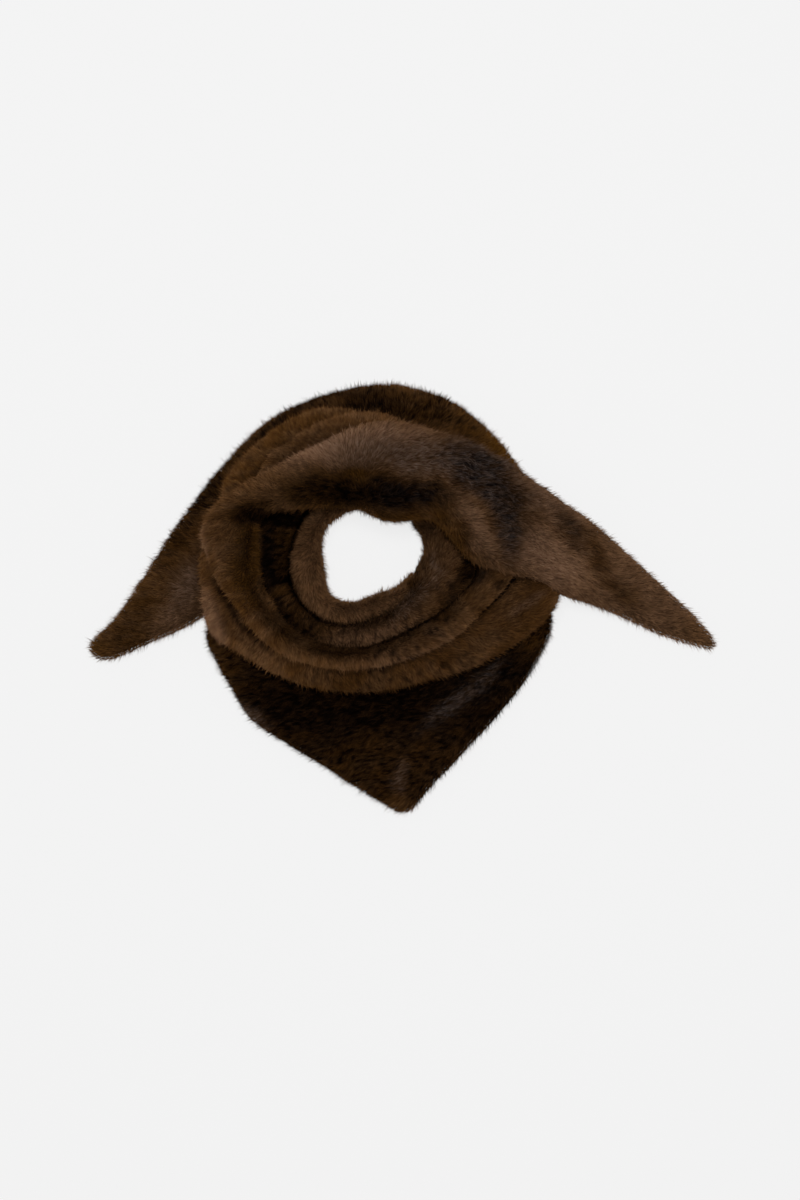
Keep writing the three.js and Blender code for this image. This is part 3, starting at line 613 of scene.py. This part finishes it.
def fur(name, cloth, seen, closed, depth, material):
    """The pile of one stretch: kite-shaped hairs of two triangles, rooted all over the cloth that shows."""
    stretch = STRETCHES[name]
    count = stretch["hairs"]
    seed = SEED + sorted(STRETCHES).index(name)
    random = np.random.default_rng(seed)
    corners, shares = rooted(cloth, seen, count, random)
    root = (mesh_points(cloth.data)[corners] * shares[:, :, None]).sum(1)
    normal = (mesh_normals(cloth.data)[corners] * shares[:, :, None]).sum(1)
    normal /= np.linalg.norm(normal, axis=1)[:, None]
    pile = (depth[corners] * shares).sum(1) / PILE_DEPTH
    # How shut in the place is: painted shade in the colour where above 0, painted light where below 0, and
    # shorter hairs in crevices.
    shut = (closed[corners] * shares).sum(1)

    comb = comb_direction(root, stretch["comb"])
    turn = WISP_TURN * drift(root, WISP_SIZE, seed) + HAIR_TURN * random.normal(size=count)
    turn += WISP_TURN * WIDE_TURN * drift(root, WISP_SIZE * WIDE_WISP, seed + 50)
    cos, sin = np.cos(turn), np.sin(turn)
    x, y, z = comb.T
    comb = np.stack([x * cos - y * sin, x * sin + y * cos, z], 1)
    comb -= normal * (comb * normal).sum(1)[:, None]
    size = np.linalg.norm(comb, axis=1)
    comb /= np.maximum(size, 1e-6)[:, None]
    guard = random.random(count) < GUARD_SHARE * (1 - (1 - GUARD_ON_TOP) * np.abs(normal[:, 2]))
    loose = (1 + HAIR_SPREAD * random.normal(size=count)) * np.where(guard, GUARD_LEAN, 1)
    wisp = 1 + WISP_LEAN * drift(root, WISP_SIZE * 0.7, seed + 90)
    lean_root = ROOT_LEAN * loose
    lean_tip = TIP_LEAN * loose * wisp * np.clip(size * 1.4, 0.45, 1)
    length = HAIR_LENGTH * (SHORT_SHARE + (1 - SHORT_SHARE) * np.clip(pile, 0.1, 1))
    length *= 1 - SHUT_SHORTER * np.clip(shut, 0, 1)
    length *= np.where(guard, GUARD_LENGTH, 1)
    length *= 1 + HAIR_SPREAD * random.normal(size=count)
    length *= 1 + WISP_LENGTH * drift(root, WISP_SIZE, seed + 7)

    def way(lean):
        return normal * np.cos(lean)[:, None] + comb * np.sin(lean)[:, None]

    middle = root + way(lean_root) * (length * BEND_SHARE)[:, None]
    tip, tuft_shade = tufted(root, middle + way(lean_tip) * (length * (1 - BEND_SHARE))[:, None])
    side = np.cross(way(lean_tip), normal)
    side /= np.maximum(np.linalg.norm(side, axis=1), 1e-6)[:, None]
    twist = random.normal(size=count) * (TWISTS[0] + TWISTS[1] * (1 - np.abs(normal[:, 2])))
    side = side * np.cos(twist)[:, None] + normal * np.sin(twist)[:, None]
    half = HAIR_WIDTH / 2 * (1 + WIDTH_SPREAD * random.normal(size=count))
    half *= 1.5 - 0.5 * np.abs(normal[:, 2])
    half = (half * np.where(guard, GUARD_WIDTH, 1))[:, None]
    start = root - way(lean_root) * ROOT_SUNK
    hair_corners = np.stack([start, middle - side * half, middle + side * half, tip], 1)
    hair_corners[:, :, 2] = np.maximum(hair_corners[:, :, 2], HAIR_FLOOR)

    made = bpy.data.meshes.new("fur_" + name)
    made.vertices.add(count * 4)
    made.vertices.foreach_set("co", tidy_numbers(hair_corners))
    first = np.arange(count)[:, None, None] * 4
    faces = (first + np.array([[0, 1, 2], [1, 3, 2]])[None]).reshape(-1)
    made.loops.add(count * 6)
    made.loops.foreach_set("vertex_index", faces.astype(np.int32))
    made.polygons.add(count * 2)
    made.polygons.foreach_set("loop_start", (np.arange(count * 2) * 3).astype(np.int32))
    made.update(calc_edges=True)

    chance = (1 - TUFT_SHADE) * random.random(count) + TUFT_SHADE * tuft_shade
    along = np.tile([0.0, BEND_SHARE, BEND_SHARE, 1.0], count)
    place = brindle_place(root, stretch["comb"])
    set_attribute(made, "brindle_place", "FLOAT_VECTOR", np.repeat(place, 4, axis=0))
    zone, pale_and_lit = zones(name, root)
    set_attribute(made, "zone", "FLOAT_COLOR", np.repeat(zone, 4, axis=0))
    set_attribute(made, "pale_and_lit", "FLOAT", np.repeat(pale_and_lit, 4))
    # Along the hair, its random lightness, and the painted shade of its place, which is painted light where
    # below 0.
    hair = np.stack([along, np.repeat(chance, 4), np.repeat(shut, 4)], 1)
    set_attribute(made, "hair", "FLOAT_VECTOR", hair)
    hair_map(made, count)
    made.materials.append(material)
    piece = bpy.data.objects.new("fur_" + name, made)
    bpy.context.scene.collection.objects.link(piece)
    return piece


def hair_map(mesh, count):
    """A map that gives each hair its own small square, for baking its colours."""
    across = math.ceil(math.sqrt(count))
    number = np.arange(count)
    corner = np.stack([number % across, number // across], 1) / across
    shape = np.array([[0.5, 0.06], [0.06, 0.5], [0.94, 0.5], [0.5, 0.94]]) / across
    order = np.array([0, 1, 2, 1, 3, 2])
    layer = mesh.uv_layers.new(name="OFBake")
    layer.data.foreach_set("uv", tidy_numbers(corner[:, None, :] + shape[order][None]))


# Materials

BROWN = (0.078, 0.034, 0.010)
PALE_BROWN = (0.118, 0.058, 0.024)
# Paler fur, also used as painted light on lit rims, ridges and the band's top.
PALE_AND_LIT = (0.216, 0.116, 0.064)
AMBER = (0.095, 0.040, 0.006)
# Near-black fur, also used as the painted shadow along creases and under the band's edge.
NEAR_BLACK = (0.0035, 0.0018, 0.0012)
# The grey of frosted tips, also used as painted sheen.
FROST_SHEEN = (0.130, 0.104, 0.096)
FLECK_EDGES = (0.38, 0.66)  # noise below the first is plain, above the second wholly marked
BROAD_EDGES = (0.35, 0.68)
DARK_EDGES = (0.05, 0.92)
FROST_SHEEN_HAIRS = (0.15, 0.85)
AMBER_SHARE = 0.85
# Painted shade deep in the pile: a hair's root is darker and its tip lighter.
ROOT_SHADE = 0.40  # the lightness of a hair's root, and how much lighter its tip is
TIP_LIGHTER = 0.85
DARKEST_HAIR = 0.35  # the lightness of the darkest hair, and how much lighter the lightest is
HAIR_LIGHTER = 1.3
# The darkest that the painted crevice shade makes a hair.
DEEPEST_SHADE = 0.05
ROUGHNESS = 0.8


def fur_material():
    """Brown pile brindled with near-black: the pattern follows each hair's root; painted shade darkens roots
    and crevices, painted light lifts tips and rims, and painted sheen greys some tips.
    """
    material = bpy.data.materials.new("faux_fur")
    material.use_nodes = True
    nodes, links = material.node_tree.nodes, material.node_tree.links
    shader = nodes["Principled BSDF"]

    def attribute(name):
        node = nodes.new("ShaderNodeAttribute")
        node.attribute_name = name
        return node

    def maths(kind, first, second=None, third=None, clamp=False):
        node = nodes.new("ShaderNodeMath")
        node.operation = kind
        node.use_clamp = clamp
        for socket, value in zip(node.inputs, (first, second, third)):
            if value is None:
                continue
            if isinstance(value, (int, float)):
                socket.default_value = value
            else:
                links.new(value, socket)
        return node.outputs[0]

    def noise(vector, scale, detail):
        node = nodes.new("ShaderNodeTexNoise")
        node.inputs["Scale"].default_value = scale
        node.inputs["Detail"].default_value = detail
        links.new(vector, node.inputs["Vector"])
        return node.outputs["Fac"]

    def mix(share, first, second):
        node = nodes.new("ShaderNodeMix")
        node.data_type = "RGBA"
        links.new(share, node.inputs["Factor"])
        for socket, value in ((node.inputs["A"], first), (node.inputs["B"], second)):
            if isinstance(value, tuple):
                socket.default_value = (*value, 1)
            else:
                links.new(value, socket)
        return node.outputs["Result"]

    def ramp(value, edges):
        node = nodes.new("ShaderNodeMapRange")
        node.interpolation_type = "SMOOTHSTEP"
        node.inputs["From Min"].default_value = edges[0]
        node.inputs["From Max"].default_value = edges[1]
        links.new(value, node.inputs["Value"])
        return node.outputs["Result"]

    place = attribute("brindle_place").outputs["Vector"]
    zone = nodes.new("ShaderNodeSeparateColor")
    zone_attribute = attribute("zone")
    links.new(zone_attribute.outputs["Color"], zone.inputs["Color"])
    dark, speckle, frost_sheen = zone.outputs[0], zone.outputs[1], zone.outputs[2]
    amber = zone_attribute.outputs["Alpha"]
    hair = nodes.new("ShaderNodeSeparateXYZ")
    links.new(attribute("hair").outputs["Vector"], hair.inputs["Vector"])
    along, chance, shut = hair.outputs[0], hair.outputs[1], hair.outputs[2]

    flecks = ramp(noise(place, 1, 2), FLECK_EDGES)
    broad = ramp(noise(place, 0.25, 3), BROAD_EDGES)
    speckled = maths("MULTIPLY", speckle, flecks)
    darkness = maths("MULTIPLY", dark, maths("MULTIPLY_ADD", flecks, 0.35, 0.72))
    darkness = maths("MAXIMUM", darkness, speckled)
    darkness = maths("MULTIPLY", darkness, maths("MULTIPLY_ADD", broad, 0.2, 0.86))
    darkness = ramp(darkness, DARK_EDGES)

    brown = mix(broad, BROWN, PALE_BROWN)
    brown = mix(attribute("pale_and_lit").outputs["Fac"], brown, PALE_AND_LIT)
    brown = mix(maths("MULTIPLY", amber, AMBER_SHARE), brown, AMBER)
    colour = mix(darkness, brown, NEAR_BLACK)
    # Painted sheen: some hairs' tips turn to the frosted grey, which stands for the pile's sheen as well as
    # its colour.
    frost_sheen_tips = maths("MULTIPLY", along, ramp(chance, FROST_SHEEN_HAIRS))
    colour = mix(maths("MULTIPLY", frost_sheen, frost_sheen_tips, clamp=True), colour, FROST_SHEEN)
    # Painted shade: darker roots deep in the pile, and darker crevices and inner sides of folds; where shut
    # is below 0, painted light on rims and upright sides.
    shade = maths("MULTIPLY_ADD", along, TIP_LIGHTER, ROOT_SHADE)
    shade = maths("MULTIPLY", shade, maths("MULTIPLY_ADD", chance, HAIR_LIGHTER, DARKEST_HAIR))
    shut_tip = maths("MULTIPLY", shut, maths("MULTIPLY_ADD", along, -0.3, 1.15))
    shade = maths("MULTIPLY", shade, maths("MAXIMUM", maths("SUBTRACT", 1.0, shut_tip), DEEPEST_SHADE))
    scale = nodes.new("ShaderNodeVectorMath")
    scale.operation = "SCALE"
    links.new(colour, scale.inputs[0])
    links.new(shade, scale.inputs["Scale"])
    links.new(scale.outputs["Vector"], shader.inputs["Base Color"])
    shader.inputs["Roughness"].default_value = ROUGHNESS
    shader.inputs["Specular IOR Level"].default_value = 0
    return material


# The scene


UNDERCOAT = 0.4  # the lightness of the cloth, counted as a hair's own


def paint_cloth(name, cloth, shut, material):
    """The cloth shows between the hairs, painted as dark as a hair's root for the shade deep in the pile,
    with the painted crevice shade too.
    """
    points = mesh_points(cloth.data)
    place = brindle_place(points, STRETCHES[name]["comb"])
    set_attribute(cloth.data, "brindle_place", "FLOAT_VECTOR", place)
    zone, pale_and_lit = zones(name, points)
    set_attribute(cloth.data, "zone", "FLOAT_COLOR", zone)
    set_attribute(cloth.data, "pale_and_lit", "FLOAT", pale_and_lit)
    none = np.zeros(len(points))
    set_attribute(cloth.data, "hair", "FLOAT_VECTOR", np.stack([none, none + UNDERCOAT, shut], 1))
    cloth.data.materials.clear()
    cloth.data.materials.append(material)


def dress():
    material = fur_material()
    cloths = {name: smooth_solid(name) for name in STRETCHES}
    trees = {name: tree_of(cloth.data) for name, cloth in cloths.items()}
    depths = {}
    for name, cloth in cloths.items():
        apart = [trees[other] for other in STRETCHES if other != name and {name, other} != RUN_ON]
        depths[name] = skin(name, cloth, apart)
    tree = tree_of_all(cloths)
    for name, cloth in cloths.items():
        points = mesh_points(cloth.data)
        normals = mesh_normals(cloth.data)
        far = averaged(cloth.data, openness(points, normals, tree, FAR_RAYS, FAR_REACH), 3)
        near = averaged(cloth.data, openness(points, normals, tree, NEAR_RAYS, NEAR_REACH), 1)
        down = np.clip(-normals[:, 2] * 2, 0, 1)
        upright = 1 - np.abs(normals[:, 2])
        seen = np.clip(far * FULL_COVER, 0, 1) * (1 - UNDER_COVER * down) * (1 + SIDE_COVER * upright)
        seen[covered(name, points)] = 0
        # Painted shade in crevices, from how shut in each place is; on the folds, painted shade on the inner
        # side and painted light on the outer rim; on the flat stretches, painted light on upright sides.
        closed = 1 - near * (1 - FAR_SHARE + FAR_SHARE * far)
        if STRETCHES[name]["comb"] == "round" or name.startswith("back_fold"):
            away, _ = from_neck(points)
            outer = averaged(cloth.data, (away * normals[:, :2]).sum(1), RIM_ROUNDS)
            outer *= RIM_TURNS.get(name, 1)
            closed = closed * (1 - RIM_SHARE * outer) - RIM_LIGHT * outer
        else:
            closed = closed - EDGE_LIGHT * averaged(cloth.data, upright, 2)
        closed = np.clip(closed, -RIM_LIGHT / 2, 1)
        paint_cloth(name, cloth, closed, material)
        pile = fur(name, cloth, seen, closed, depths[name], material)
        for piece in (cloth, pile):
            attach(piece, "root")
        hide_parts(name)


FLOOR_REACH = 6.0
WHITE = (1, 1, 1, 1)
PAPER = (0.10, 0.10, 0.10, 1)  # dark under its own glow, so that the scarf throws hardly any shadow
PAPER_GLOW = 0.79
SKY = 0.38
LAMPS = (  # name, place, size (m) and power (W)
    ("key", (-0.2, 0.6, 2.5), 0.9, 44),
    ("fill", (0.9, -0.5, 2.4), 1.6, 5),
)


def floor_and_lights():
    floor_mesh = bpy.data.meshes.new("floor")
    square = [(x * FLOOR_REACH, y * FLOOR_REACH, 0) for x, y in ((-1, -1), (1, -1), (1, 1), (-1, 1))]
    floor_mesh.from_pydata(square, [], [(0, 1, 2, 3)])
    floor = bpy.data.objects.new("floor", floor_mesh)
    bpy.context.scene.collection.objects.link(floor)
    paper = bpy.data.materials.new("paper")
    paper.use_nodes = True
    shader = paper.node_tree.nodes["Principled BSDF"]
    shader.inputs["Base Color"].default_value = PAPER
    shader.inputs["Roughness"].default_value = 0.9
    shader.inputs["Specular IOR Level"].default_value = 0.1
    shader.inputs["Emission Color"].default_value = WHITE
    shader.inputs["Emission Strength"].default_value = PAPER_GLOW
    floor_mesh.materials.append(paper)
    world = bpy.data.worlds.new("studio")
    bpy.context.scene.world = world
    world.use_nodes = True
    world.node_tree.nodes["Background"].inputs["Color"].default_value = WHITE
    world.node_tree.nodes["Background"].inputs["Strength"].default_value = SKY
    for name, place, size, power in LAMPS:
        lamp = bpy.data.lights.new(name, "AREA")
        lamp.size = size
        lamp.energy = power
        light = bpy.data.objects.new(name, lamp)
        light.location = place
        light.rotation_euler = (Vector((0, 0, 0)) - Vector(place)).to_track_quat("-Z", "Y").to_euler()
        bpy.context.scene.collection.objects.link(light)


EYE = 2.4  # the camera's height
LENS = 85
PHOTO = (800, 1200)  # the photo's size in pixels
PIXEL = 0.85 * MM  # the floor to a pixel
ORIGIN_PIXEL = (402, 599)  # where the frame's origin is in the photo


def camera():
    """Straight down, as in the photo."""
    view = bpy.data.cameras.new("camera")
    view.lens = LENS
    view.sensor_fit = "HORIZONTAL"
    view.sensor_width = LENS * PHOTO[0] * PIXEL / EYE
    view.shift_x = (PHOTO[0] / 2 - ORIGIN_PIXEL[0]) / PHOTO[0]
    view.shift_y = (ORIGIN_PIXEL[1] - PHOTO[1] / 2) / PHOTO[0]
    piece = bpy.data.objects.new("camera", view)
    piece.location = (0, 0, EYE)
    bpy.context.scene.collection.objects.link(piece)
    bpy.context.scene.camera = piece
    bpy.context.scene.view_settings.view_transform = "Standard"


camera()
floor_and_lights()
dress()
